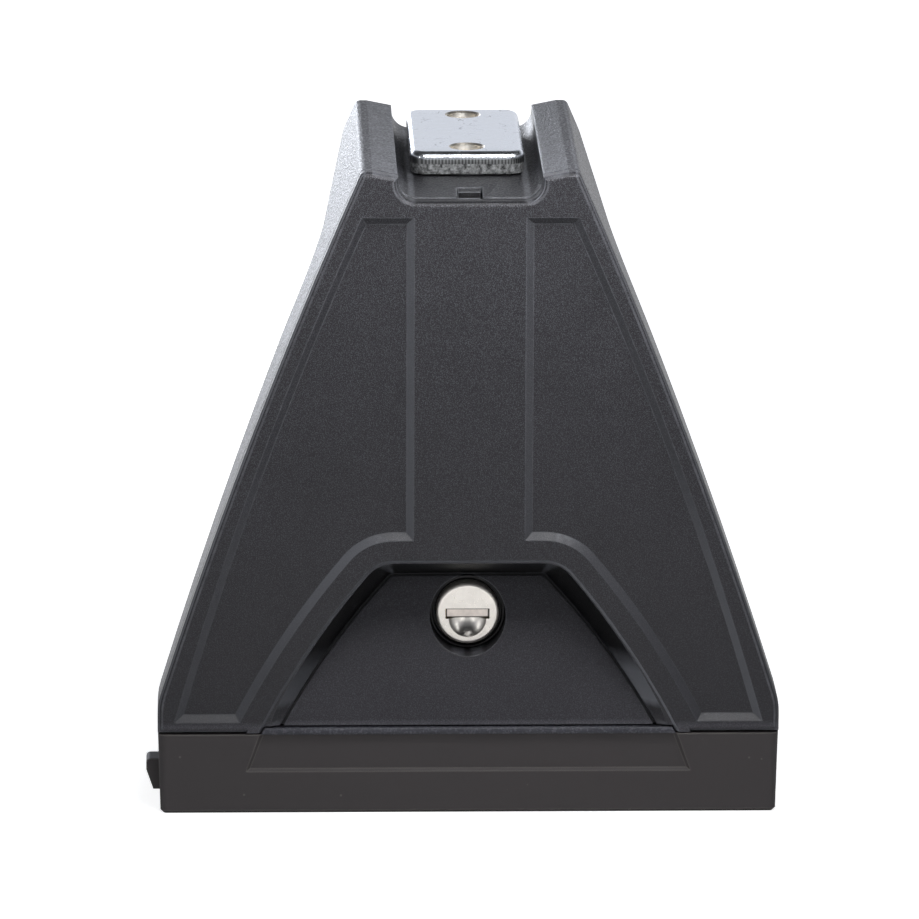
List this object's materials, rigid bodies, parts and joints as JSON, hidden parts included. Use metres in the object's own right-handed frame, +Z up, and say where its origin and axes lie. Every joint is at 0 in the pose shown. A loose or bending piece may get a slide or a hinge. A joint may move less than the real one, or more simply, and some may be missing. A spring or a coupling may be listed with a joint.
{
  "type": "roof bar foot",
  "caption": "Tapered roof bar foot with a locking front cover, a bar saddle between two horns, a steel bar plate and a rubber base pad.",
  "frame": {"origin": "middle of the base pad's underside", "axes": "+Z up, -Y out of the front cover, +X to the right of someone who faces the cover"},
  "size_m": [0.119, 0.066, 0.1233],
  "materials": {
    "moulded_body": "fine spark-textured glass-filled nylon",
    "moulded_cover": "fine spark-textured nylon",
    "pad_rubber": "moulded rubber",
    "plate_steel": "punched, zinc-plated",
    "bolt_steel": "zinc-plated",
    "washer_steel": "zinc-plated",
    "bush_steel": "turned, zinc-plated",
    "load_plate_steel": "pressed, zinc-plated",
    "sleeve_plastic": "moulded acetal",
    "clip_steel": "spring steel",
    "lock_nickel": "satin nickel-plated zinc",
    "wafer_brass": "stamped",
    "shutter_steel": "stainless leaf",
    "tongue_steel": "pressed, zinc-plated"
  },
  "bodies": {
    "leg": {"leg_body": "moulded_body", "base_pad": "pad_rubber", "saddle_bushes": "bush_steel", "base_bushes": "bush_steel", "load_plates": "load_plate_steel"},
    "cover": {"front_cover": "moulded_cover", "lock_sleeve": "sleeve_plastic", "sleeve_clip": "clip_steel"},
    "lock": {"lock_core": "lock_nickel", "lock_wafers": "wafer_brass", "dust_shutter": "shutter_steel", "lock_tongue": "tongue_steel", "tongue_washer": "washer_steel", "tongue_screw": "bolt_steel"},
    "bar_clamp": {"bar_plate": "plate_steel", "bar_bolts": "bolt_steel", "bar_bolt_washers": "washer_steel"}
  },
  "joints": [
    {"name": "cover_swing", "type": "hinge", "parent": "leg", "child": "cover", "pos_m": [0, -0.008, 0.1233], "axis": [-1, 0, 0], "range_deg": [0, 35]},
    {"name": "lock_turn", "type": "hinge", "parent": "cover", "child": "lock", "pos_m": [0, 0, 0.0362], "axis": [0, 1, 0], "range_deg": [0, 90]},
    {"name": "bar_clamp_lift", "type": "slide", "parent": "leg", "child": "bar_clamp", "axis": [0, 0, 1], "range_m": [0, 0.003]}
  ]
}
